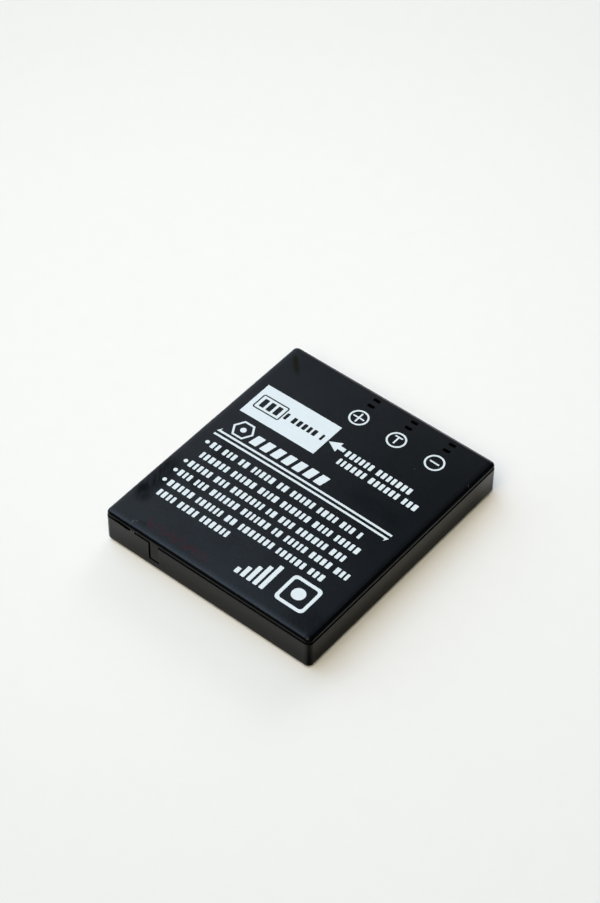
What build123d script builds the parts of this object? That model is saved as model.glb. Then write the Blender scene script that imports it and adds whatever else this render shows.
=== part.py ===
from build123d import *

import os

# Flat camera battery: a moulded base and lid round one sealed cell and its protection board.
# Millimetres. +X runs along the printed lines, +Y to the contact end, +Z out of the lid.

# Case
pack_width = 35.0
pack_length = 40.0
edge_height = 5.65
lid_crown = 0.3
corner_radius = 0.8
base_edge_radius = 0.7
lid_edge_radius = 0.5
wall = 0.9
floor_thickness = 0.5
lid_thickness = 0.45

# Lap joint: the lid's rim hangs outside the base's tongue and stops short of its shoulder
rim_drop = 0.17
rim_thickness = 0.4
seam_gap = 0.33
lid_inset = 0.05
lap_clearance = 0.05
shoulder_edge_radius = 0.08

# Key tab of the lid, in a notch of the end wall away from the contacts
key_from_side = 8.68
key_width = 1.43
key_lift = 1.82
key_left_gap = 0.3
key_right_gap = 0.05
key_end_gap = 0.25
key_corner_radius = 0.15

# Pry mark: a bruise in the lid's rim, a chip in the base's shoulder below it and a burr beside them
pry_from_side = 2.76
pry_length = 3.3
pry_height = 0.12
chip_from_side = 2.2
chip_length = 2.25
chip_low_point = 1.46
chip_drop = 0.15
chip_depth = 0.3
burr_from_side = 4.88
burr_length = 0.85
burr_height = 0.21
burr_depth = 0.3

# Contacts, windows in the end wall and slots in the lid
contact_pitch = 6.5
contact_from_side = 6.5
contact_width = 3.2
contact_strip = 0.2
contact_bend_radius = 0.22
contact_bridge_gap = 0.12
contact_rear_leg = 1.6
contact_foot = 0.5
contact_foot_slope = 0.35
contact_pad_gap = 0.08
contact_pad_overlap = 0.1
window_width = 2.8
window_height = 2.2
window_lift = 1.6
window_corner_radius = 0.3
slot_width = 1.15
slot_length = 0.55
slot_corner_radius = 0.12

# Protection board, upright in the contact bay, between guides on the base
board_setback = 2.07
board_thickness = 0.8
board_height = 3.5
board_end_clearance = 0.15
guide_length = 1.2
guide_thickness = 0.6
guide_height = 3.0
guide_clearance = 0.05
hold_down_width = 1.0
hold_down_from_end = 2.0

# Six-lead packages of the protection circuit and its switch, on the inner face of the board
package_width = 2.9
package_height = 1.6
package_depth = 1.0
package_taper = 8
lead_count = 3
lead_pitch = 0.95
lead_width = 0.35
lead_length = 0.5
lead_thickness = 0.15
mosfet_from_contact = 5.6

# Chip parts beside them: width, height and depth of each body
thermistor_body = (1.6, 0.8, 0.7)
resistor_body = (1.6, 0.8, 0.45)
capacitor_body = (0.8, 1.4, 0.7)
chip_spacing = 0.25
chip_corner = 0.08

# Sealed cell, its terminal and the tape under it
contact_bay = 3.7
cell_clearance = 0.1
cell_side_radius = 1.8
cell_bottom_radius = 0.4
tape_width = 24.0
tape_length = 28.0
tape_thickness = 0.15
tape_corner_radius = 1.0
gasket_width = 6.0
gasket_height = 2.8
gasket_thickness = 0.2
terminal_width = 4.4
terminal_height = 1.8
terminal_thickness = 0.4
terminal_corner_radius = 0.4
stop_width = 4.0
stop_thickness = 0.6
stop_height = 1.1
stop_from_side = 4.1

# Nickel strips and the insulating card
strip_width = 1.8
strip_thickness = 0.15
strip_bend_radius = 0.3
strip_slope = 1.3
strip_joint = 1.6
strip_end_margin = 0.2
positive_weld = 4.0
card_thickness = 0.1
card_side_margin = 0.8
card_edge_margin = 0.3
card_corner_radius = 1.2
card_opening_margin = 0.3

# Length that carries a cut clear of the faces it starts and ends on
overcut = 0.2

# Levels and places that follow from the sizes above
lid_seat = edge_height - lid_thickness
rim_bottom = lid_seat - rim_drop
shoulder = rim_bottom - seam_gap
inner_width = pack_width - 2 * wall
inner_length = pack_length - 2 * wall
rim_inset = lid_inset + rim_thickness
tongue_inset = rim_inset + lap_clearance
near_face = -pack_length / 2
end_wall = inner_length / 2
minus_place = pack_width / 2 - contact_from_side
contact_places = [minus_place - step * contact_pitch for step in (2, 1, 0)]
board_middle = pack_length / 2 - board_setback
board_rear = board_middle - board_thickness / 2
board_front = board_middle + board_thickness / 2
board_width = inner_width - 2 * board_end_clearance
board_top = floor_thickness + board_height
board_level = floor_thickness + board_height / 2
cell_end = end_wall - contact_bay
cell_width = inner_width - 2 * cell_clearance
cell_length = cell_end + end_wall - cell_clearance
cell_bottom = floor_thickness + tape_thickness
cell_height = lid_seat - cell_clearance - cell_bottom
cell_level = cell_bottom + cell_height / 2
card_width = cell_width - 2 * card_side_margin
card_height = cell_height - 2 * card_edge_margin
strip_end = inner_width / 2 - guide_length - strip_end_margin
strip_bend = strip_end - strip_joint - strip_slope
weld_start = strip_bend - positive_weld
ic_place = (contact_places[0] + contact_pitch / 2, board_level)
mosfet_place = (contact_places[0] - mosfet_from_contact, board_level)
chip_column = contact_places[1] + contact_pitch / 2
chip_step = resistor_body[1] + chip_spacing
thermistor_place = (chip_column, board_level + chip_step)
resistor_places = [(chip_column, board_level), (chip_column, board_level - chip_step)]
capacitor_column = contact_places[0] - contact_width / 2 - capacitor_body[0]
capacitor_offset = (capacitor_body[1] + chip_spacing) / 2
capacitor_places = [(capacitor_column, board_level + side * capacitor_offset) for side in (-1, 1)]
key_place = key_from_side - pack_width / 2
pry_place = pry_from_side - pack_width / 2
chip_start = chip_from_side - pack_width / 2
burr_place = burr_from_side - pack_width / 2

# Upright planes: X along the pack, local Y up, facing the end away from the contacts
board_plane = Plane.XZ.offset(-board_rear)
cell_end_plane = Plane.XZ.offset(-cell_end)

os.makedirs("parts", exist_ok=True)


def rounded_plan(inset):
    """Outline of the pack, moved inwards by inset."""
    radius = max(corner_radius - inset, inset / 3)
    return RectangleRounded(pack_width - 2 * inset, pack_length - 2 * inset, radius)


def crowned_block(inset, bottom, edge_top):
    """Block of the pack's outline whose top swells from straight edges to its middle."""
    reach_x = pack_width / 2 + overcut
    reach_y = pack_length / 2 + overcut
    slight = lid_crown / 100
    with BuildPart() as block:
        for place, rise in ((-reach_y, slight), (0, lid_crown), (reach_y, slight)):
            with BuildSketch(Plane.XZ.offset(-place)):
                with BuildLine():
                    ThreePointArc((-reach_x, edge_top), (0, edge_top + rise), (reach_x, edge_top))
                    Polyline((reach_x, edge_top), (reach_x, bottom), (-reach_x, bottom), (-reach_x, edge_top))
                make_face()
        loft()
        with BuildSketch(Plane.XY.offset(bottom)):
            rounded_plan(inset)
        extrude(amount=edge_top + 2 * lid_crown - bottom, mode=Mode.INTERSECT)
    return block.part


def near_face_arch(place, length, height, foot, skirt):
    """Shallow arch on the near face above the line at foot, closed by a straight skirt below it."""
    left = place - length / 2
    right = place + length / 2
    with BuildSketch(Plane.XZ.offset(-near_face)) as arch:
        with BuildLine():
            ThreePointArc((left, foot), (place, foot + height), (right, foot))
            Polyline((right, foot), (right, foot - skirt), (left, foot - skirt), (left, foot))
        make_face()
    return arch.sketch


def contact_profile(place):
    """Side view of a plated strip folded over the board, with its pad behind the window at place."""
    rear_leg = board_rear - contact_strip / 2
    pad = end_wall - contact_pad_gap - contact_strip / 2
    foot = board_front + contact_strip / 2
    bridge = board_top + contact_bridge_gap + contact_strip / 2
    pad_bottom = window_lift - contact_pad_overlap
    foot_top = pad_bottom - contact_foot_slope
    with BuildSketch(Plane.YZ.offset(place - contact_width / 2)) as profile:
        with BuildLine():
            FilletPolyline(
                (rear_leg, bridge - contact_rear_leg),
                (rear_leg, bridge),
                (pad, bridge),
                (pad, pad_bottom),
                (foot, foot_top),
                (foot, foot_top - contact_foot),
                radius=contact_bend_radius,
            )
        trace(line_width=contact_strip)
    return profile.sketch


def strip_profile(side, start, seat):
    """Plan of a strip from the cell's end, at start and seat, to the board, towards side -1 or 1."""
    on_cell = seat + strip_thickness / 2
    on_board = board_rear - strip_thickness / 2
    with BuildSketch(Plane.XY.offset(cell_level - strip_width / 2)) as profile:
        with BuildLine():
            FilletPolyline(
                (start, on_cell),
                (side * strip_bend, on_cell),
                (side * (strip_end - strip_joint), on_board),
                (side * strip_end, on_board),
                radius=strip_bend_radius,
            )
        trace(line_width=strip_thickness)
    return profile.sketch


def chip_outlines(body, places):
    """Outlines of small chip parts on the board's inner face, one at each place."""
    with BuildSketch(board_plane) as outlines:
        with Locations(*places):
            Rectangle(body[0], body[1])
        chamfer(outlines.vertices(), chip_corner)
    return outlines.sketch


def leaded_package(place):
    """Moulded package on the board's inner face with a row of flat leads along two sides."""
    with BuildPart() as package:
        with BuildSketch(board_plane):
            with Locations(place):
                Rectangle(package_width, package_height)
        extrude(amount=package_depth, taper=package_taper)
        with BuildSketch(board_plane):
            with Locations(place):
                with GridLocations(lead_pitch, package_height, lead_count, 2):
                    Rectangle(lead_width, 2 * lead_length)
        extrude(amount=lead_thickness)
    return package.part


# Base: floor, walls, tongue for the lid, key notch, contact windows, board guides and cell stops
with BuildPart() as case_base:
    with BuildSketch():
        rounded_plan(0)
    extrude(amount=shoulder)
    fillet(case_base.faces().sort_by(Axis.Z)[0].edges(), base_edge_radius)
    fillet(case_base.faces().sort_by(Axis.Z)[-1].edges(), shoulder_edge_radius)
    with BuildSketch(Plane.XY.offset(floor_thickness)):
        rounded_plan(tongue_inset)
    extrude(amount=lid_seat - floor_thickness)
    with BuildSketch(Plane.XY.offset(floor_thickness)):
        rounded_plan(wall)
    extrude(amount=lid_seat, mode=Mode.SUBTRACT)
    with BuildSketch(Plane.XZ.offset(-near_face)) as notch:
        with Locations((key_place + (key_right_gap - key_left_gap) / 2, key_lift - key_end_gap)):
            Rectangle(key_width + key_left_gap + key_right_gap, shoulder, align=(Align.CENTER, Align.MIN))
        fillet(notch.vertices().group_by(Axis.Y)[0], key_corner_radius)
    extrude(amount=-tongue_inset, mode=Mode.SUBTRACT)
    with BuildSketch(Plane.XZ.offset(-near_face)):
        with BuildLine():
            Polyline(
                (chip_start, shoulder),
                (chip_start + chip_low_point, shoulder - chip_drop),
                (chip_start + chip_length, shoulder - chip_drop / 2),
                (chip_start + chip_length, shoulder + overcut),
                (chip_start, shoulder + overcut),
                close=True,
            )
        make_face()
    extrude(amount=-chip_depth, mode=Mode.SUBTRACT)
    extrude(near_face_arch(burr_place, burr_length, burr_height, shoulder, burr_height), amount=-burr_depth)
    with BuildSketch(Plane.XZ.offset(near_face)):
        with Locations(*[(place, window_lift + window_height / 2) for place in contact_places]):
            RectangleRounded(window_width, window_height, window_corner_radius)
    extrude(amount=wall, mode=Mode.SUBTRACT)
    rear_guide = board_rear - guide_clearance - guide_thickness / 2
    front_guide = board_front + guide_clearance
    with BuildSketch(Plane.XY.offset(floor_thickness)):
        with GridLocations(inner_width - guide_length, 0, 2, 1):
            with Locations((0, rear_guide)):
                Rectangle(guide_length, guide_thickness)
            with Locations((0, (front_guide + end_wall) / 2)):
                Rectangle(guide_length, end_wall - front_guide)
    extrude(amount=guide_height)
    stop_face = cell_end + card_thickness + guide_clearance
    stop_place = inner_width / 2 - stop_from_side
    with BuildSketch(Plane.XY.offset(floor_thickness)):
        with Locations((-stop_place, stop_face), (stop_place, stop_face)):
            Rectangle(stop_width, stop_thickness, align=(Align.CENTER, Align.MIN))
    extrude(amount=stop_height)
case_base.part.label = "case_base"
export_step(case_base.part, "parts/case_base.step")

# Lid: crowned plate with a hanging rim, the key tab, contact slots and two hold-downs for the board
lid_block = crowned_block(lid_inset, rim_bottom, edge_height)
lid_hollow = crowned_block(rim_inset, rim_bottom - overcut, lid_seat)
with BuildPart() as case_lid:
    add(lid_block)
    fillet(case_lid.faces().sort_by(Axis.Z)[-1].edges(), lid_edge_radius)
    add(lid_hollow, mode=Mode.SUBTRACT)
    with BuildSketch(Plane.XZ.offset(-near_face - lid_inset)) as tab:
        with Locations((key_place, key_lift)):
            Rectangle(key_width, lid_seat - key_lift, align=(Align.CENTER, Align.MIN))
        fillet(tab.vertices().group_by(Axis.Y)[0], key_corner_radius)
    extrude(amount=-rim_thickness)
    bruise = near_face_arch(pry_place, pry_length, pry_height, rim_bottom, seam_gap / 2)
    extrude(bruise, amount=-tongue_inset, mode=Mode.SUBTRACT)
    with BuildSketch(Plane.XY.offset(edge_height + 2 * lid_crown)):
        for row in (-1, 1):
            row_middle = board_middle + row * (board_thickness + slot_length) / 2
            with Locations(*[(place, row_middle) for place in contact_places]):
                RectangleRounded(slot_width, slot_length, slot_corner_radius)
    extrude(amount=-2 * lid_crown - lid_thickness, mode=Mode.SUBTRACT)
    with BuildSketch(Plane.XY.offset(board_top + guide_clearance)):
        with Locations((0, board_middle)):
            with GridLocations(board_width - 2 * hold_down_from_end, 0, 2, 1):
                Rectangle(hold_down_width, board_thickness)
    extrude(amount=lid_seat + lid_thickness / 2 - board_top - guide_clearance)
case_lid.part.label = "case_lid"
export_step(case_lid.part, "parts/case_lid.step")

# Cell: one drawn can with rounded sides and a flat welded cap, sealed, lying on its tape
with BuildPart() as cell_can:
    with BuildSketch(cell_end_plane):
        with Locations((0, cell_level)):
            RectangleRounded(cell_width, cell_height, min(cell_side_radius, 0.45 * cell_height))
    extrude(amount=cell_length)
    fillet(cell_can.faces().sort_by(Axis.Y)[0].edges(), cell_bottom_radius)
cell_can.part.label = "cell_can"
export_step(cell_can.part, "parts/cell_can.step")

with BuildPart() as cell_tape:
    with BuildSketch(Plane.XY.offset(floor_thickness)):
        with Locations((0, cell_end - cell_length / 2)):
            RectangleRounded(tape_width, tape_length, tape_corner_radius)
    extrude(amount=tape_thickness)
cell_tape.part.label = "cell_tape"
export_step(cell_tape.part, "parts/cell_tape.step")

# Insulated terminal on the cell's end
with BuildPart() as cell_terminal_gasket:
    with BuildSketch(cell_end_plane):
        with Locations((0, cell_level)):
            RectangleRounded(gasket_width, gasket_height, terminal_corner_radius)
    extrude(amount=-gasket_thickness)
cell_terminal_gasket.part.label = "cell_terminal_gasket"
export_step(cell_terminal_gasket.part, "parts/cell_terminal_gasket.step")

with BuildPart() as cell_negative_terminal:
    with BuildSketch(cell_end_plane.offset(-gasket_thickness)):
        with Locations((0, cell_level)):
            RectangleRounded(terminal_width, terminal_height, terminal_corner_radius)
    extrude(amount=-terminal_thickness)
cell_negative_terminal.part.label = "cell_negative_terminal"
export_step(cell_negative_terminal.part, "parts/cell_negative_terminal.step")

# Nickel strips from the terminal and from the can to the board
with BuildPart() as negative_strip:
    terminal_face = cell_end + gasket_thickness + terminal_thickness
    extrude(strip_profile(-1, terminal_width / 2, terminal_face), amount=strip_width)
negative_strip.part.label = "negative_strip"
export_step(negative_strip.part, "parts/negative_strip.step")

with BuildPart() as positive_strip:
    extrude(strip_profile(1, weld_start, cell_end), amount=strip_width)
positive_strip.part.label = "positive_strip"
export_step(positive_strip.part, "parts/positive_strip.step")

# Card on the cell's end, open round the terminal and the positive weld
with BuildPart() as insulating_card:
    with BuildSketch(cell_end_plane):
        with Locations((0, cell_level)):
            RectangleRounded(card_width, card_height, card_corner_radius)
            Rectangle(
                gasket_width + 2 * card_opening_margin,
                gasket_height + 2 * card_opening_margin,
                mode=Mode.SUBTRACT,
            )
        with Locations((weld_start + positive_weld / 2, cell_level)):
            Rectangle(
                positive_weld + 2 * card_opening_margin,
                strip_width + 2 * card_opening_margin,
                mode=Mode.SUBTRACT,
            )
    extrude(amount=-card_thickness)
insulating_card.part.label = "insulating_card"
export_step(insulating_card.part, "parts/insulating_card.step")

# Protection board and what is soldered to it
with BuildPart() as protection_board:
    with BuildSketch(board_plane):
        with Locations((0, board_level)):
            Rectangle(board_width, board_height)
    extrude(amount=-board_thickness)
protection_board.part.label = "protection_board"
export_step(protection_board.part, "parts/protection_board.step")

with BuildPart() as protection_ic:
    add(leaded_package(ic_place))
protection_ic.part.label = "protection_ic"
export_step(protection_ic.part, "parts/protection_ic.step")

with BuildPart() as mosfet:
    add(leaded_package(mosfet_place))
mosfet.part.label = "mosfet"
export_step(mosfet.part, "parts/mosfet.step")

with BuildPart() as thermistor:
    extrude(chip_outlines(thermistor_body, [thermistor_place]), amount=thermistor_body[2])
thermistor.part.label = "thermistor"
export_step(thermistor.part, "parts/thermistor.step")

with BuildPart() as resistors:
    extrude(chip_outlines(resistor_body, resistor_places), amount=resistor_body[2])
resistors.part.label = "resistors"
export_step(resistors.part, "parts/resistors.step")

with BuildPart() as capacitors:
    extrude(chip_outlines(capacitor_body, capacitor_places), amount=capacitor_body[2])
capacitors.part.label = "capacitors"
export_step(capacitors.part, "parts/capacitors.step")

# Contacts, one behind each window
with BuildPart() as contact_plus:
    extrude(contact_profile(contact_places[0]), amount=contact_width)
contact_plus.part.label = "contact_plus"
export_step(contact_plus.part, "parts/contact_plus.step")

with BuildPart() as contact_temperature:
    extrude(contact_profile(contact_places[1]), amount=contact_width)
contact_temperature.part.label = "contact_temperature"
export_step(contact_temperature.part, "parts/contact_temperature.step")

with BuildPart() as contact_minus:
    extrude(contact_profile(contact_places[2]), amount=contact_width)
contact_minus.part.label = "contact_minus"
export_step(contact_minus.part, "parts/contact_minus.step")
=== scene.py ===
import math
import random

import bmesh
import bpy
from mathutils import Matrix, Vector
from mathutils.bvhtree import BVHTree
from mathutils.geometry import tessellate_polygon


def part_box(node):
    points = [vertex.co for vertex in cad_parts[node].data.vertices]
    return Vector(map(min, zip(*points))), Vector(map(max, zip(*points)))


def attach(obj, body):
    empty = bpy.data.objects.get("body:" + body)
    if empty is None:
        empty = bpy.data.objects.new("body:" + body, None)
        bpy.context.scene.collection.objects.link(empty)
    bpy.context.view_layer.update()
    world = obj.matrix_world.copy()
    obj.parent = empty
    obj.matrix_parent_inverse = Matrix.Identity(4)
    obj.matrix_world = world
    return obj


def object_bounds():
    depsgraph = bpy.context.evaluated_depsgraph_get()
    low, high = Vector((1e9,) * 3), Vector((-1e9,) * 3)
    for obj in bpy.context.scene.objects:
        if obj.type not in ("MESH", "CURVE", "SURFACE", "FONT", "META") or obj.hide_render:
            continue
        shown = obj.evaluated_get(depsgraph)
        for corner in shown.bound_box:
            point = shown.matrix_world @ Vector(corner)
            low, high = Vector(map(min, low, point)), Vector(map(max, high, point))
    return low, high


# Flat camera battery: finishes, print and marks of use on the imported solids.
# Metres. +X runs along the printed lines, +Y to the contact end, +Z out of the lid.

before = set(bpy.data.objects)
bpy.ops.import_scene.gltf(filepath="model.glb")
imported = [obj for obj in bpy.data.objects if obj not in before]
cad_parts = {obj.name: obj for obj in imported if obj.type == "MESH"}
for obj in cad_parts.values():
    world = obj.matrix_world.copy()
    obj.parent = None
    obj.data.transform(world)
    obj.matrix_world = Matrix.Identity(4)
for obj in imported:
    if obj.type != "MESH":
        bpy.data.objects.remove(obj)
cad_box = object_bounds()

MM = 0.001
LEFT_SIDE, NEAR_END = cad_box[0].xy
RIGHT_SIDE, CONTACT_END = cad_box[1].xy

# Ink in millimetres: its height above the lid, its root below it, the grid that it is cut to
# and the blobs in its grain
INK_HEIGHT = 0.008
INK_ROOT = 0.004
INK_GRID = 1.0
INK_PATCH = 1.5
INK_MOTTLE = 0.3
INK_GRAIN = 0.1
INK_TONES = ((0.645, 0.735, 0.79), (0.71, 0.79, 0.84))
INK_ROUGHNESS = (0.42, 0.55)

# Laying the ink on the lid, in metres
CUT_TOLERANCE = 1e-8
RAY_NUDGES = (0.0, 1e-6, -1e-6, 3e-6)

# Printed sheet: millimetres across from the left side and down from the contact end
CORNER_STEPS = 5
CIRCLE_STEPS = 56

MARK_DOWN = 5.55
MARK_OFFSET = 0.1
MARK_RADIUS = 1.46
MARK_LINE = 0.27
SIGN_LINE = 0.24
PLUS_SPAN = 1.85
MINUS_SPAN = 1.55
T_WIDTH = 1.25
T_HEIGHT = 1.5

FIELD_MIDDLE = (8.56, 11.68)
FIELD_SIZE = (13.0, 6.25)
FIELD_CORNER = 0.05
ICON_MIDDLE = (5.1, 11.68)
ICON_SIZE = (4.6, 2.9)
ICON_LINE = 0.22
ICON_CORNER = 0.35
ICON_CAP = (0.5, 1.3)
ICON_BAR = (0.8, 1.7)
ICON_BAR_STEP = 1.2
FIELD_WORDS = (8.9, 14.3, 11.68)

ARROW_TIP = (15.25, 11.65)
ARROW_HEAD = (1.8, 1.95)
ARROW_SHAFT = (1.0, 0.7)

RULE_ENDS = (2.13, 32.18)
RULE_LINE = 0.34
RULES_DOWN = (19.46, 20.24)
RULE_BARB = (0.45, 0.45)

HEADING_ENDS = (7.1, 19.6)
HEADING_DOWN = 17.8
HEADING_HEIGHT = 1.85
HEADING_BLOCKS = 7
HEADING_GAP = 0.6
HEADING_LEAN = 0.2
NUT_MIDDLE = (4.95, 17.4)
NUT_SIDES = 6
NUT_RADIUS = 1.75
NUT_LINE = 0.34
NUT_DOT = 0.45

# Lines of print: the left and right ends, and how far down the middle is
LINES = (
    (18.45, 29.5, 11.83),
    (18.45, 32.25, 13.63),
    (3.3, 29.2, 22.1),
    (3.4, 30.8, 24.37),
    (3.2, 30.1, 26.55),
    (3.2, 32.3, 28.65),
    (3.33, 29.95, 30.87),
    (3.33, 15.9, 33.0),
)
LINE_HEIGHT = 1.15
LINE_CORNER = 0.12
BLOCK_WIDTHS = (0.4, 0.66)
BLOCK_GAP = 0.3
WORD_BLOCKS = (2, 8)
WORD_GAP = 0.8
WORD_SEED = 11
BULLET_ACROSS = 2.55
BULLET_RADIUS = 0.31
BULLETS_DOWN = (22.1, 26.55, 28.65, 30.87)

LEVEL_ENDS = (19.95, 24.8)
LEVEL_FOOT = 37.2
LEVEL_BARS = 5
LEVEL_BAR_WIDTH = 0.66
LEVEL_HEIGHTS = (1.0, 4.6)
TILE_MIDDLE = (28.95, 34.8)
TILE_SIZE = 4.8
TILE_LINE = 0.5
TILE_CORNER = 0.7
TILE_DOT = 1.0

# Colours of the case, and the sizes in millimetres of the blobs in its grain
BASE_TONES = ((0.0011, 0.001, 0.0008), (0.002, 0.0019, 0.0015))
BASE_PATCH = 4.0
BASE_GRAIN = 0.12
PATCH_SHARE = 0.6
LID_TONES = ((0.0009, 0.0011, 0.0013), (0.0016, 0.0019, 0.0022))
LID_PATCH = 5.0
LID_GRAIN = 0.1
LID_GRAIN_DEPTH = 0.0004
MOTTLE_GRAIN = 0.3
MOTTLE_SHARES = (0.9, 1.1)

# Spans of a noise's values that a change runs over
NOISE_SPAN = (0.3, 0.7)
WIDE_SPAN = (0.2, 0.8)

# Sheen of the case, with distances in millimetres; its changes over the case are painted light and shade.
# The base's rises from its foot (painted shade towards the foot), is less on its sides with a warm tint
# (painted reflection), is painted lighter towards the left and far ends and darker towards the near end, and
# drops at the near right corner (painted shade). The lid's fades over its rounded edge (painted shade).
BASE_SHEEN = (0.08, 0.145)
SIDE_SHEEN = (0.036, 0.118)
END_TINT = (1.0, 1.0, 1.0)
SIDE_TINT = (1.0, 0.97, 0.72)
SIDE_INSETS = (0.6, 0.2)
BASE_LEVELS = (1.3, 5.0)
LEFT_PAINTED_SHEEN = 1.3
LEFT_REACH = (8.5, 1.5)
NEAR_PAINTED_SHADE = 0.64
NEAR_REACH = (24.0, 4.0)
FAR_PAINTED_SHEEN = 2.6
FAR_REACH = (5.0, 1.2)
CORNER_PAINTED_SHADE = 0.43
CORNER_INSETS = (0.25, 0.55)
BASE_ROUGHNESS = (0.16, 0.24)
LID_SHEEN = (0.28, 0.32)
LID_ROUGHNESS = (0.17, 0.23)
# Painted shade: heights over which the lid's gloss falls, so that its rounded edge and rim read dark
EDGE_LEVELS = (5.46, 5.56)
RIM_LEVELS = (5.28, 5.4)
RIM_SHARE = 0.32
DARK_SHARE = 0.08

# Softening of the lid's flat top towards its rounded edge: from where to where, and how far it falls
SOFT_EDGE = (1.15, 0.55)
SOFT_FALL = 0.02

# Wear on the lid, and painted shade on its near right corner, as ovals on the sheet: strength, then across,
# down, length, width and turn. An oval is full in its core, a share of its radius.
SPOT_CORE = 0.3
SMEARS_AND_CORNER_SHADE = (
    (0.76, (1.7, 34.0, 5.4, 3.6, -56.0)),
    (0.7, (1.6, 30.3, 10.0, 4.8, -80.0)),
    (0.42, (5.8, 22.6, 7.5, 4.4, -75.0)),
    (0.35, (6.5, 28.6, 5.5, 3.6, -30.0)),
    (0.25, (27.5, 17.0, 13.0, 3.8, 0.0)),
    (0.3, (5.6, 38.4, 2.4, 0.8, 10.0)),
    # The last two are painted shade: they darken the lid's near right corner and take away its glint
    (0.4, (33.0, 37.5, 9.0, 7.5, 0.0)),
    (0.8, (34.5, 39.5, 2.2, 2.2, 0.0)),
)
SMEAR_TURN = -60.0
STREAK_GRAIN = 0.25
STREAK_STRETCH = (7.0, 1.0, 1.0)
STREAK_SPAN = (0.35, 0.6)
STREAK_SHARES = (0.55, 1.0)
STAINS = (
    (0.8, (2.6, 3.25, 5.2, 1.35, -43.0)),
    (0.95, (1.85, 2.45, 2.4, 1.1, -48.0)),
)
STAIN_TINT = (0.007, 0.0055, 0.002)
STAIN_DULLS = 0.75
GHOST_ENDS = (6.2, 15.8)
GHOST_DOWN = 37.8
GHOST_STROKES = 11
GHOST_STROKE = (2.3, 0.8)
GHOST_LEAN = 20.0
GHOST_GRAIN = 0.5
GHOST_SPAN = (0.4, 0.6)
GHOST_SHARES = (0.4, 1.0)
GHOST_TINT = (0.027, 0.0035, 0.005)
GHOST_DULLS = 0.35
SCRATCHES = (
    (1.0, (4.22, 39.1, 0.75, 0.16, 100.0)),
    (1.0, (4.55, 38.75, 0.5, 0.14, 25.0)),
    (0.4, (34.55, 5.9, 0.8, 0.16, -60.0)),
    (1.0, (27.2, 8.2, 0.18, 0.18)),
    (1.0, (24.1, 20.95, 0.14, 0.14)),
)
SCRATCH_TINT = (0.075, 0.078, 0.08)
# Scuffs, and a painted highlight down the tab's right edge, as ovals on the wall away from the contacts:
# strength, colour, then across, lift, length and height
SCUFFS_AND_TAB_HIGHLIGHT = (
    (0.9, (0.2, 0.2, 0.19), (4.6, 4.89, 0.5, 0.2)),
    (0.9, (0.17, 0.17, 0.16), (5.1, 4.88, 0.4, 0.18)),
    (0.8, (0.05, 0.05, 0.045), (5.7, 5.28, 0.5, 0.14)),
    # Painted highlight: a light line down the tab's right edge, where the edge of its notch catches light
    (0.7, (0.03, 0.03, 0.029), (9.49, 3.2, 0.14, 3.8)),
    (0.7, (0.1, 0.02, 0.01), (20.89, 0.89, 0.22, 0.22)),
)

# Metals and stock inside the case: grain in millimetres, how far the roughness strays, and how the grain
# is drawn out along each axis
METAL_GRAIN = 0.08
METAL_SPAN = (0.25, 0.75)
METAL_STRAY = (-0.06, 0.08)
STOCK_STRAY = (-0.08, 0.08)
NICKEL_STREAKS = (20.0, 1.0, 1.0)
GOLD_STREAKS = (1.0, 1.0, 20.0)
CAN_STREAKS = (1.0, 30.0, 1.0)
CARD_FIBRES = (5.0, 1.0, 1.0)

# Camera that matches the photograph's view
CAMERA_AZIMUTH = 39.07285
CAMERA_ELEVATION = 47.55302
CAMERA_ROLL = 0.408955
CAMERA_DISTANCE = 0.3512295
CAMERA_TARGET = (-0.0074728, 0.00858835, 0.0)
CAMERA_LENS = 101.3755
CAMERA_NEAREST = 0.01

# Soft lights on the sky: azimuth and elevation, the angles from there where a light ends and is full,
# and its colour
SKY_LIGHTS = {
    "front": (14.3, 61.2, 31.5, 8.6, (4.75, 4.24, 3.2)),
    "left": (-91.7, 67.1, 31.9, 1.0, (1.36, 1.78, 2.37)),
    "left_low": (-97.6, 5.0, 65.9, 42.6, (0.95, 1.09, 1.26)),
    "back": (-164.7, 25.9, 17.3, 1.0, (4.9, 4.45, 4.6)),
}
SKY_TONE = (0.004, 0.015, 0.024)
BACKDROP_TONE = (0.9, 0.9, 0.9)

# Floor: painted light, palest round the glow and darker by its fall over a reach of distances from there, in
# metres
FLOOR_GLOW = (-0.034, 0.016, 0.0)
FLOOR_REACH = (0.015, 0.14)
FLOOR_FALL = 0.88
FLOOR_TONES = ((0.86, 0.86, 0.86), (0.88, 0.88, 0.88))
FLOOR_GRAIN_MM = 3.0
FLOOR_SIZE = 6.0
FLOOR_DROP = 0.00002


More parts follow.
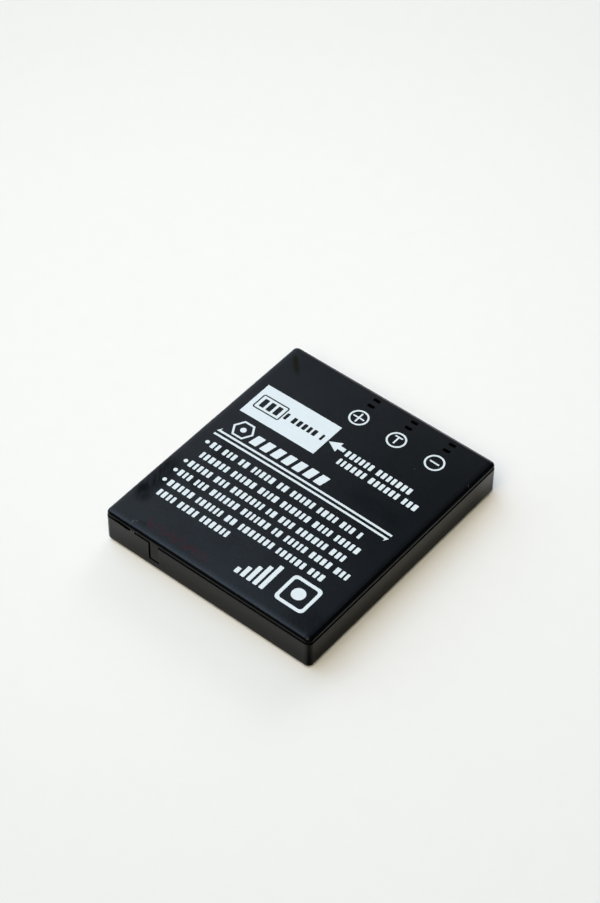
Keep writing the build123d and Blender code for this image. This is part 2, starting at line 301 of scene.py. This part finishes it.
class Graph:
    """The nodes of a material or world, and short calls for building them."""

    def __init__(self, owner, coordinates):
        owner.use_nodes = True
        self.tree = owner.node_tree
        self.place = self.node("ShaderNodeTexCoord").outputs[coordinates]

    def node(self, kind, inputs=None, **settings):
        """New node with its settings and inputs."""
        made = self.tree.nodes.new(kind)
        for key, value in settings.items():
            setattr(made, key, value)
        for key, value in (inputs or {}).items():
            self.feed(made.inputs[key], value)
        return made

    def feed(self, socket, value):
        """Link another socket to a socket, or give it a plain value."""
        if isinstance(value, bpy.types.NodeSocket):
            self.tree.links.new(value, socket)
        else:
            socket.default_value = value

    def noise(self, grain, detail=2.0, stretch=(1.0, 1.0, 1.0), turn=0.0):
        """Noise with blobs of about grain millimetres, drawn out by stretch on axes turned in the plan."""
        turned = {"Vector": self.place, "Scale": stretch, "Rotation": (0.0, 0.0, math.radians(turn))}
        spread = self.node("ShaderNodeMapping", turned, vector_type="TEXTURE")
        inputs = {"Vector": spread.outputs[0], "Scale": 1 / (grain * MM), "Detail": detail}
        return self.node("ShaderNodeTexNoise", inputs).outputs["Fac"]

    def math(self, operation, first, second):
        """Result of an operation on two values."""
        return self.node("ShaderNodeMath", {0: first, 1: second}, operation=operation).outputs[0]

    def ranged(self, value, start, end, low=0.0, high=1.0):
        """Value that goes smoothly from low to high while another goes from start to end."""
        inputs = {"Value": value, "From Min": start, "From Max": end, "To Min": low, "To Max": high}
        return self.node("ShaderNodeMapRange", inputs, interpolation_type="SMOOTHSTEP").outputs[0]

    def mixed(self, factor, first, second):
        """Mix of two colours, the first where factor is 0."""
        inputs = {"Fac": factor, "Color1": colour(first), "Color2": colour(second)}
        return self.node("ShaderNodeMixRGB", inputs).outputs[0]

    def vector(self, operation, first, second):
        """Result of an operation on two vectors, or on a vector and its scale."""
        made = self.node("ShaderNodeVectorMath", {0: first}, operation=operation)
        self.feed(made.inputs["Scale" if operation == "SCALE" else 1], second)
        return made.outputs["Value" if operation in ("DOT_PRODUCT", "DISTANCE") else "Vector"]


class Finish(Graph):
    """One material with its shader."""

    def __init__(self, name):
        self.material = bpy.data.materials.new(name)
        super().__init__(self.material, "Object")
        self.shader = self.tree.nodes["Principled BSDF"]
        self.parts = self.node("ShaderNodeSeparateXYZ", {0: self.place})

    def surface(self, **values):
        """Set the shader's sockets, with underscores for the spaces in their names."""
        for key, value in values.items():
            self.feed(self.shader.inputs[key.replace("_", " ")], value)

    def left(self):
        """Distance inwards from the left side of the pack."""
        return self.math("SUBTRACT", self.parts.outputs["X"], LEFT_SIDE)

    def right(self):
        """Distance inwards from the right side of the pack."""
        return self.math("SUBTRACT", RIGHT_SIDE, self.parts.outputs["X"])

    def sides(self):
        """Distance inwards from the nearer side of the pack."""
        return self.math("MINIMUM", self.left(), self.right())

    def near(self):
        """Distance inwards from the end away from the contacts."""
        return self.math("SUBTRACT", self.parts.outputs["Y"], NEAR_END)

    def far(self):
        """Distance inwards from the contact end."""
        return self.math("SUBTRACT", CONTACT_END, self.parts.outputs["Y"])

    def painted_sheen(self, sheen, distance, reach, share):
        """A sheen painted lighter or darker: it goes to a share of itself over a reach of distances."""
        return self.math("MULTIPLY", sheen, self.within(distance, reach, 1.0, share))

    def within(self, distance, limits, low=0.0, high=1.0):
        """Value that goes from low to high between two distances in millimetres."""
        return self.ranged(distance, limits[0] * MM, limits[1] * MM, low, high)

    def strongest(self, shares):
        """Largest of several masks, each with its own strength."""
        most = 0.0
        for strength, mask in shares:
            most = self.math("MAXIMUM", most, self.math("MULTIPLY", mask, strength))
        return most

    def rising(self, levels, low, high):
        """Value that goes from low to high between two heights in millimetres."""
        return self.within(self.parts.outputs["Z"], levels, low, high)

    def spot(self, across, down, length, width, turn=0.0):
        """Soft oval on the printed sheet, its length turned from the lines."""
        inputs = {
            "Vector": self.place,
            "Location": (LEFT_SIDE + across * MM, CONTACT_END - down * MM, 0.0),
            "Rotation": (0.0, 0.0, math.radians(turn)),
            "Scale": (length / 2 * MM, width / 2 * MM, 1.0),
        }
        return self.inside(inputs)

    def wall_oval(self, across, lift, length, height):
        """Soft oval on the wall away from the contacts."""
        inputs = {
            "Vector": self.place,
            "Location": (LEFT_SIDE + across * MM, NEAR_END, lift * MM),
            "Scale": (length / 2 * MM, MM, height / 2 * MM),
        }
        return self.inside(inputs)

    def with_scuffs_and_highlight(self, tone):
        """A tone with the scuffs of the wall away from the contacts, and the painted highlight on the tab's
        edge, on it.
        """
        for share, tint, oval in SCUFFS_AND_TAB_HIGHLIGHT:
            tone = self.mixed(self.math("MULTIPLY", self.wall_oval(*oval), share), tone, tint)
        return tone

    def worn(self, marks):
        """Mask of marks on the printed sheet, each a strength and an oval."""
        return self.strongest([(strength, self.spot(*oval)) for strength, oval in marks])

    def inside(self, inputs):
        """Mask of an oval, 1 in its core and 0 outside it."""
        place = self.node("ShaderNodeMapping", inputs, vector_type="TEXTURE").outputs[0]
        reach = self.node("ShaderNodeVectorMath", {0: place}, operation="LENGTH").outputs["Value"]
        return self.ranged(reach, 1.0, SPOT_CORE)

    def bump(self, height, strength, depth):
        """Give the surface a relief whose height of 1 is depth millimetres."""
        inputs = {"Height": height, "Strength": strength, "Distance": depth * MM}
        self.feed(self.shader.inputs["Normal"], self.node("ShaderNodeBump", inputs).outputs[0])


def colour(value):
    """A colour with its alpha, or a socket as it is."""
    if isinstance(value, bpy.types.NodeSocket):
        return value
    return (*value, 1.0)


def base_plastic():
    """The base's black plastic with a fine eroded grain, scuffs beside the pry mark, a painted highlight on the
    tab's edge and painted light and shade in its sheen.
    """
    graph = Finish("base_plastic")
    grain = graph.noise(BASE_GRAIN)
    patches = graph.math("MULTIPLY", graph.noise(BASE_PATCH, detail=3.0), PATCH_SHARE)
    blend = graph.math("ADD", patches, graph.math("MULTIPLY", grain, 1 - PATCH_SHARE))
    tone = graph.mixed(graph.ranged(blend, *NOISE_SPAN), *BASE_TONES)
    side = graph.within(graph.sides(), SIDE_INSETS)
    graph.surface(Base_Color=graph.with_scuffs_and_highlight(tone), Specular_IOR_Level=painted_base_sheen(graph, side))
    # Warm tint of the sides' sheen: a painted reflection of the warm floor beside them
    graph.surface(Specular_Tint=graph.mixed(side, END_TINT, SIDE_TINT))
    graph.surface(Roughness=graph.ranged(blend, *WIDE_SPAN, *BASE_ROUGHNESS))
    graph.bump(grain, strength=0.2, depth=0.008)
    return graph.material


def painted_base_sheen(graph, side):
    """The base's sheen with painted light and shade, from that of its ends to that of its sides where side is
    1.
    """
    end_sheen = graph.rising(BASE_LEVELS, *BASE_SHEEN)
    end_sheen = graph.painted_sheen(end_sheen, graph.left(), LEFT_REACH, LEFT_PAINTED_SHEEN)
    side_sheen = graph.rising(BASE_LEVELS, *SIDE_SHEEN)
    side_sheen = graph.painted_sheen(side_sheen, graph.near(), NEAR_REACH, NEAR_PAINTED_SHADE)
    side_sheen = graph.painted_sheen(side_sheen, graph.far(), FAR_REACH, FAR_PAINTED_SHEEN)
    sheen = graph.ranged(side, 0.0, 1.0, end_sheen, side_sheen)
    # Painted shade: the sheen drops on the near right corner
    from_corner = graph.math("MAXIMUM", graph.right(), graph.near())
    return graph.math("MULTIPLY", sheen, graph.within(from_corner, CORNER_INSETS, CORNER_PAINTED_SHADE, 1.0))


def ghost_stamp(graph):
    """Row of worn strokes that lean by turns to either side."""
    left, right = GHOST_ENDS
    strokes = []
    for stroke in range(GHOST_STROKES):
        across = left + (right - left) * stroke / (GHOST_STROKES - 1)
        turn = 90.0 + GHOST_LEAN * (-1) ** stroke
        strokes.append((1.0, graph.spot(across, GHOST_DOWN, *GHOST_STROKE, turn)))
    patches = graph.ranged(graph.noise(GHOST_GRAIN, detail=3.0), *GHOST_SPAN, *GHOST_SHARES)
    return graph.math("MULTIPLY", graph.strongest(strokes), patches)


def smears_and_corner_shade(graph):
    """Patches left by handling, and painted shade that dulls the near right corner, drawn out in streaks."""
    streaks = graph.noise(STREAK_GRAIN, detail=4.0, stretch=STREAK_STRETCH, turn=SMEAR_TURN)
    shares = graph.ranged(streaks, *STREAK_SPAN, *STREAK_SHARES)
    return graph.math("MULTIPLY", graph.worn(SMEARS_AND_CORNER_SHADE), shares)


def lid_gloss(graph, dull):
    """The lid's sheen, uneven, less where it is dull, and fading over the rounded edge and rim as painted
    shade.
    """
    mottle = graph.ranged(graph.noise(MOTTLE_GRAIN, detail=3.0), *NOISE_SPAN, *MOTTLE_SHARES)
    gloss = graph.ranged(graph.noise(LID_PATCH, detail=3.0), *NOISE_SPAN, *LID_SHEEN)
    gloss = graph.math("MULTIPLY", gloss, mottle)
    gloss = graph.math("MULTIPLY", gloss, graph.math("SUBTRACT", 1.0, dull))
    # Painted shade over the rounded edge and the rim
    edge = graph.rising(EDGE_LEVELS, DARK_SHARE, 1.0)
    rim = graph.rising(RIM_LEVELS, RIM_SHARE, DARK_SHARE)
    return graph.math("MULTIPLY", gloss, graph.math("MAXIMUM", edge, rim))


def edge_fall(graph):
    """Fall of the lid's flat top towards its rounded edge, in millimetres."""
    start, end = SOFT_EDGE
    width = (start - end) * MM
    inset = graph.math("MINIMUM", graph.sides(), graph.near())
    into_edge = graph.math("MAXIMUM", graph.math("SUBTRACT", start * MM, inset), 0.0)
    into_edge = graph.math("DIVIDE", graph.math("MINIMUM", into_edge, width), width)
    return graph.math("MULTIPLY", graph.math("POWER", into_edge, 2.0), SOFT_FALL)


def lid_plastic():
    """The lid's smoother black plastic, with the smear marks, stains and scratches of use, and painted shade on
    its near right corner.
    """
    graph = Finish("lid_plastic")
    grain = graph.noise(LID_GRAIN)
    stain = graph.worn(STAINS)
    ghost = ghost_stamp(graph)
    tone = graph.mixed(grain, *LID_TONES)
    tone = graph.mixed(ghost, tone, GHOST_TINT)
    tone = graph.mixed(stain, tone, STAIN_TINT)
    tone = graph.mixed(graph.worn(SCRATCHES), tone, SCRATCH_TINT)
    dull = graph.strongest([(1.0, smears_and_corner_shade(graph)), (STAIN_DULLS, stain), (GHOST_DULLS, ghost)])
    graph.surface(Base_Color=graph.with_scuffs_and_highlight(tone), Specular_IOR_Level=lid_gloss(graph, dull))
    graph.surface(Roughness=graph.ranged(grain, *WIDE_SPAN, *LID_ROUGHNESS))
    relief = graph.math("MULTIPLY", grain, LID_GRAIN_DEPTH)
    graph.bump(graph.math("SUBTRACT", relief, edge_fall(graph)), strength=1.0, depth=1.0)
    return graph.material


def white_ink():
    """Thin pad-printed ink, a little uneven."""
    graph = Finish("print_white")
    graph.surface(Base_Color=graph.mixed(graph.noise(INK_PATCH), *INK_TONES))
    graph.surface(Roughness=graph.ranged(graph.noise(INK_MOTTLE), *NOISE_SPAN, *INK_ROUGHNESS))
    graph.bump(graph.noise(INK_GRAIN), strength=0.15, depth=0.005)
    return graph.material


def metal(name, dark, light, roughness, stretch):
    """Rolled or plated metal with fine streaks along one axis."""
    graph = Finish(name)
    streaks = graph.noise(METAL_GRAIN, detail=3.0, stretch=stretch)
    smooth, rough = (roughness + stray for stray in METAL_STRAY)
    graph.surface(Metallic=1.0, Base_Color=graph.mixed(streaks, dark, light))
    graph.surface(Roughness=graph.ranged(streaks, *METAL_SPAN, smooth, rough))
    graph.bump(streaks, strength=0.12, depth=0.004)
    return graph.material


def plain_stock(name, dark, light, roughness, grain, stretch=(1.0, 1.0, 1.0)):
    """Paper, card, board and package materials with a grain of their own."""
    graph = Finish(name)
    fibres = graph.noise(grain, detail=4.0, stretch=stretch)
    smooth, rough = (roughness + stray for stray in STOCK_STRAY)
    graph.surface(Base_Color=graph.mixed(graph.ranged(fibres, *NOISE_SPAN), dark, light))
    graph.surface(Roughness=graph.ranged(fibres, *WIDE_SPAN, smooth, rough))
    graph.bump(fibres, strength=0.2, depth=0.01)
    return graph.material


def floor_paper():
    """Pale seamless paper under the object, with painted light: a little darker away from the glow behind it.
    """
    graph = Finish("floor_paper")
    fibres = graph.mixed(graph.noise(FLOOR_GRAIN_MM, detail=4.0), *FLOOR_TONES)
    away = graph.vector("DISTANCE", graph.place, FLOOR_GLOW)
    fall = graph.ranged(away, *FLOOR_REACH, 1.0, FLOOR_FALL)
    graph.surface(Base_Color=graph.vector("SCALE", fibres, fall))
    graph.surface(Roughness=0.9, Specular_IOR_Level=0.1)
    return graph.material


def rounded(middle, size, radius, lean=0.0):
    """Outline of a rectangle with round corners, its top leaning right by a share of the height."""
    points = []
    for turn, (side_x, side_y) in enumerate(((1, 1), (-1, 1), (-1, -1), (1, -1))):
        for step in range(CORNER_STEPS + 1):
            angle = math.radians(90 * (turn + step / CORNER_STEPS))
            across = side_x * (size[0] / 2 - radius) + radius * math.cos(angle)
            down = side_y * (size[1] / 2 - radius) + radius * math.sin(angle)
            points.append((middle[0] + across - lean * down, middle[1] + down))
    return points


def circle(middle, radius, steps=CIRCLE_STEPS):
    """Outline of a circle, or of a regular polygon of a few steps."""
    angles = [2 * math.pi * step / steps for step in range(steps)]
    return [(middle[0] + radius * math.cos(a), middle[1] + radius * math.sin(a)) for a in angles]


def moved(points, middle):
    """Points round the origin, moved to a middle."""
    return [(middle[0] + across, middle[1] + down) for across, down in points]


def contact_marks():
    """Ringed plus, T and minus over the three contacts."""
    arm, line = PLUS_SPAN / 2, SIGN_LINE / 2
    quarter = ((line, line), (arm, line), (arm, -line))
    plus = []
    for cosine, sine in ((1, 0), (0, -1), (-1, 0), (0, 1)):
        plus += [(x * cosine - y * sine, x * sine + y * cosine) for x, y in quarter]
    half, top, foot = T_WIDTH / 2, -T_HEIGHT / 2, T_HEIGHT / 2
    under = top + SIGN_LINE
    tee = [(-half, top), (half, top), (half, under), (line, under)]
    tee += [(line, foot), (-line, foot), (-line, under), (-half, under)]
    minus = rounded((0, 0), (MINUS_SPAN, SIGN_LINE), line / 3)
    shapes = []
    for node, sign in (("contact_plus", plus), ("contact_temperature", tee), ("contact_minus", minus)):
        low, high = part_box(node)
        middle = (((low.x + high.x) / 2 - LEFT_SIDE) / MM + MARK_OFFSET, MARK_DOWN)
        shapes.append([circle(middle, MARK_RADIUS), circle(middle, MARK_RADIUS - MARK_LINE)])
        shapes.append([moved(sign, middle)])
    return shapes


def label_field():
    """White field with a cell pictogram and a line of blocks left open in it."""
    across, down = ICON_MIDDLE
    half = ICON_SIZE[0] / 2
    cap = rounded((across + half + ICON_CAP[0] / 2 + ICON_LINE, down), ICON_CAP, ICON_LINE / 2)
    inner = (ICON_SIZE[0] - 2 * ICON_LINE, ICON_SIZE[1] - 2 * ICON_LINE)
    bars = []
    for step in (-1, 0, 1):
        bars.append(rounded((across + step * ICON_BAR_STEP, down), ICON_BAR, ICON_LINE / 2))
    words = [outline for shape in word_bars(*FIELD_WORDS) for outline in shape]
    holes = [rounded(ICON_MIDDLE, ICON_SIZE, ICON_CORNER), cap, *words]
    island = [rounded(ICON_MIDDLE, inner, ICON_CORNER - ICON_LINE), *bars]
    return [[rounded(FIELD_MIDDLE, FIELD_SIZE, FIELD_CORNER), *holes], island]


def arrow():
    """Arrow that points at the white field."""
    neck, end = ARROW_HEAD[0], ARROW_HEAD[0] + ARROW_SHAFT[0]
    wing, half = ARROW_HEAD[1] / 2, ARROW_SHAFT[1] / 2
    points = [(0, 0), (neck, -wing), (neck, -half), (end, -half), (end, half), (neck, half), (neck, wing)]
    return [[moved(points, ARROW_TIP)]]


def rules():
    """Double rule with a barb at one end of each line."""
    left, right = RULE_ENDS
    long, tall = RULE_BARB
    half = RULE_LINE / 2
    upper, lower = RULES_DOWN
    first = [(left, upper + half), (left + long, upper - half - tall), (left + long, upper - half)]
    first += [(right, upper - half), (right, upper + half)]
    second = [(right, lower - half), (right - long, lower + half + tall), (right - long, lower + half)]
    second += [(left, lower + half), (left, lower - half)]
    return [[first], [second]]


def heading():
    """Row of leaning blocks beside a dot in a ring of six sides."""
    left, right = HEADING_ENDS
    step = (right - left + HEADING_GAP) / HEADING_BLOCKS
    outer = circle(NUT_MIDDLE, NUT_RADIUS, NUT_SIDES)
    inner = circle(NUT_MIDDLE, NUT_RADIUS - NUT_LINE, NUT_SIDES)
    shapes = [[outer, inner], [circle(NUT_MIDDLE, NUT_DOT)]]
    for block in range(HEADING_BLOCKS):
        middle = (left + (block + 0.5) * step - HEADING_GAP / 2, HEADING_DOWN)
        shapes.append([rounded(middle, (step - HEADING_GAP, HEADING_HEIGHT), LINE_CORNER, HEADING_LEAN)])
    return shapes


def word_bars(left, right, down):
    """Words of upright blocks that fill a line from left to right."""
    shapes = []
    left_in_word = WORDS.randint(*WORD_BLOCKS)
    while right - left > BLOCK_WIDTHS[0]:
        width = min(WORDS.uniform(*BLOCK_WIDTHS), right - left)
        shapes.append([rounded((left + width / 2, down), (width, LINE_HEIGHT), LINE_CORNER)])
        left_in_word -= 1
        left += width + (BLOCK_GAP if left_in_word else WORD_GAP)
        left_in_word = left_in_word or WORDS.randint(*WORD_BLOCKS)
    return shapes


def printed_lines():
    """Lines of blocks in words, with a dot before some of them."""
    shapes = [shape for line in LINES for shape in word_bars(*line)]
    return shapes + [[circle((BULLET_ACROSS, down), BULLET_RADIUS)] for down in BULLETS_DOWN]


def symbols():
    """Rising bars and a framed dot in the corner away from the contacts."""
    left, right = LEVEL_ENDS
    shortest, tallest = LEVEL_HEIGHTS
    shapes = []
    for bar in range(LEVEL_BARS):
        share = bar / (LEVEL_BARS - 1)
        height = shortest + share * (tallest - shortest)
        across = left + LEVEL_BAR_WIDTH / 2 + share * (right - left - LEVEL_BAR_WIDTH)
        shapes.append([rounded((across, LEVEL_FOOT - height / 2), (LEVEL_BAR_WIDTH, height), LINE_CORNER)])
    inner = TILE_SIZE - 2 * TILE_LINE
    frame_lines = [rounded(TILE_MIDDLE, (TILE_SIZE, TILE_SIZE), TILE_CORNER)]
    frame_lines.append(rounded(TILE_MIDDLE, (inner, inner), TILE_CORNER - TILE_LINE / 2))
    return shapes + [frame_lines, [circle(TILE_MIDDLE, TILE_DOT)]]


def on_sheet(outline):
    """Points of an outline on the printed sheet, in metres and flat."""
    return [Vector((LEFT_SIDE + across * MM, CONTACT_END - down * MM, 0)) for across, down in outline]


def ink_piece(name, shapes, lid, material):
    """Lay filled shapes on the lid as one thin closed piece. Outlines after a shape's first are holes."""
    mesh = bmesh.new()
    for outlines in shapes:
        loops = [on_sheet(outline) for outline in outlines]
        corners = [mesh.verts.new(point) for loop in loops for point in loop]
        for triangle in tessellate_polygon(loops):
            mesh.faces.new([corners[index] for index in triangle])
    cut_to_grid(mesh)
    for vert in mesh.verts:
        vert.co.z = lid_level(lid, vert.co) - INK_ROOT * MM
    raised = bmesh.ops.extrude_face_region(mesh, geom=mesh.faces[:], use_keep_orig=True)["geom"]
    for vert in (item for item in raised if isinstance(item, bmesh.types.BMVert)):
        vert.co.z += (INK_ROOT + INK_HEIGHT) * MM
    bmesh.ops.recalc_face_normals(mesh, faces=mesh.faces[:])
    piece = bpy.data.objects.new(name, bpy.data.meshes.new(name))
    mesh.to_mesh(piece.data)
    mesh.free()
    piece.data.materials.append(material)
    bpy.context.scene.collection.objects.link(piece)
    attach(piece, "root")


def lid_level(lid, place):
    """Height of the lid at a place, from a ray that is nudged aside if it slips between two faces."""
    for nudge in RAY_NUDGES:
        start = Vector((place.x + nudge, place.y + nudge / 2, 2 * cad_box[1].z))
        landing = lid.ray_cast(start, Vector((0, 0, -1)))[0]
        if landing:
            return landing.z
    raise ValueError("no lid under the print")


def cut_to_grid(mesh):
    """Cut flat faces along a grid, so that they can follow the lid's crown."""
    pitch = INK_GRID * MM
    for axis, extent in enumerate(cad_box[1].xy):
        normal = Vector((axis == 0, axis == 1, 0))
        steps = int(extent / pitch)
        for step in range(-steps, steps + 1):
            cut = {"plane_co": normal * step * pitch, "plane_no": normal, "dist": CUT_TOLERANCE}
            bmesh.ops.bisect_plane(mesh, geom=mesh.verts[:] + mesh.edges[:] + mesh.faces[:], **cut)


def facing(azimuth, elevation):
    """Unit vector from the object towards a place round it. Azimuth 0 is in front and 90 on the right."""
    turn, rise = math.radians(azimuth), math.radians(elevation)
    return Vector((math.sin(turn) * math.cos(rise), -math.cos(turn) * math.cos(rise), math.sin(rise)))


def placed(back, roll, position):
    """Matrix of a camera at position that looks against back and is rolled about it."""
    right = Vector((0, 0, 1)).cross(back).normalized()
    up = back.cross(right)
    turn = math.radians(roll)
    across = right * math.cos(turn) + up * math.sin(turn)
    above = up * math.cos(turn) - right * math.sin(turn)
    return Matrix.Translation(position) @ Matrix((across, above, back)).transposed().to_4x4()


def add_camera():
    """Camera at the photograph's viewing angle."""
    camera = bpy.data.objects.new("camera", bpy.data.cameras.new("camera"))
    camera.data.lens = CAMERA_LENS
    camera.data.clip_start = CAMERA_NEAREST
    back = facing(CAMERA_AZIMUTH, CAMERA_ELEVATION)
    camera.matrix_world = placed(back, CAMERA_ROLL, Vector(CAMERA_TARGET) + back * CAMERA_DISTANCE)
    bpy.context.scene.collection.objects.link(camera)
    bpy.context.scene.camera = camera


def add_sky():
    """Dim sky with soft lights on it, pale where the camera sees it."""
    world = bpy.data.worlds.new("studio")
    graph = Graph(world, "Generated")
    glow = SKY_TONE
    for azimuth, elevation, end, full, tint in SKY_LIGHTS.values():
        aim = graph.vector("DOT_PRODUCT", graph.place, facing(azimuth, elevation))
        share = graph.ranged(aim, math.cos(math.radians(end)), math.cos(math.radians(full)))
        glow = graph.vector("ADD", glow, graph.vector("SCALE", tint, share))
    seen = graph.node("ShaderNodeLightPath").outputs["Is Camera Ray"]
    background = world.node_tree.nodes["Background"]
    graph.feed(background.inputs["Color"], graph.mixed(seen, glow, BACKDROP_TONE))
    bpy.context.scene.world = world


def add_floor():
    """Flat floor just under the part."""
    half = FLOOR_SIZE / 2
    corners = [(-half, -half, -FLOOR_DROP), (half, -half, -FLOOR_DROP)]
    corners += [(half, half, -FLOOR_DROP), (-half, half, -FLOOR_DROP)]
    floor = bpy.data.objects.new("floor", bpy.data.meshes.new("floor"))
    floor.data.from_pydata(corners, [], [(0, 1, 2, 3)])
    floor.data.materials.append(floor_paper())
    bpy.context.scene.collection.objects.link(floor)


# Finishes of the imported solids: darker and lighter colour, roughness, then streaks of metal or grain of stock
nickel = metal("nickel", (0.58, 0.56, 0.52), (0.7, 0.68, 0.64), 0.32, NICKEL_STREAKS)
gold = metal("contact_gold", (0.78, 0.56, 0.23), (0.88, 0.68, 0.32), 0.28, GOLD_STREAKS)
aluminium = metal("cell_aluminium", (0.66, 0.67, 0.68), (0.78, 0.79, 0.8), 0.4, CAN_STREAKS)
package = plain_stock("chip_plastic", (0.02, 0.02, 0.021), (0.036, 0.036, 0.037), 0.55, 0.1)
ceramic = plain_stock("chip_ceramic", (0.33, 0.24, 0.15), (0.46, 0.35, 0.24), 0.5, 0.1)
card = plain_stock("insulating_card", (0.55, 0.53, 0.4), (0.68, 0.66, 0.54), 0.8, 0.25, CARD_FIBRES)
FINISHES = {
    "case_base": base_plastic(),
    "case_lid": lid_plastic(),
    "cell_can": aluminium,
    "cell_tape": plain_stock("tape", (0.74, 0.72, 0.63), (0.84, 0.82, 0.75), 0.8, 0.6),
    "cell_terminal_gasket": plain_stock("gasket_plastic", (0.13, 0.13, 0.14), (0.18, 0.18, 0.19), 0.5, 0.3),
    "cell_negative_terminal": nickel,
    "negative_strip": nickel,
    "positive_strip": nickel,
    "insulating_card": card,
    "protection_board": plain_stock("board", (0.02, 0.14, 0.06), (0.04, 0.21, 0.1), 0.45, 0.5),
    "protection_ic": package,
    "mosfet": package,
    "thermistor": ceramic,
    "resistors": ceramic,
    "capacitors": ceramic,
    "contact_plus": gold,
    "contact_temperature": gold,
    "contact_minus": gold,
}
for node_name, finish in FINISHES.items():
    node_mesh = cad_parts[node_name].data
    node_mesh.materials.clear()
    node_mesh.materials.append(finish)

# Print on the lid
WORDS = random.Random(WORD_SEED)
lid_top = BVHTree.FromObject(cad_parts["case_lid"], bpy.context.evaluated_depsgraph_get())
ink = white_ink()
PRINT = {
    "print_contact_marks": contact_marks(),
    "print_field": label_field(),
    "print_arrow": arrow(),
    "print_rules": rules(),
    "print_heading": heading(),
    "print_lines": printed_lines(),
    "print_symbols": symbols(),
}
for piece_name, piece_shapes in PRINT.items():
    ink_piece(piece_name, piece_shapes, lid_top, ink)

add_floor()
add_sky()
add_camera()
bpy.context.scene.view_settings.view_transform = "Standard"
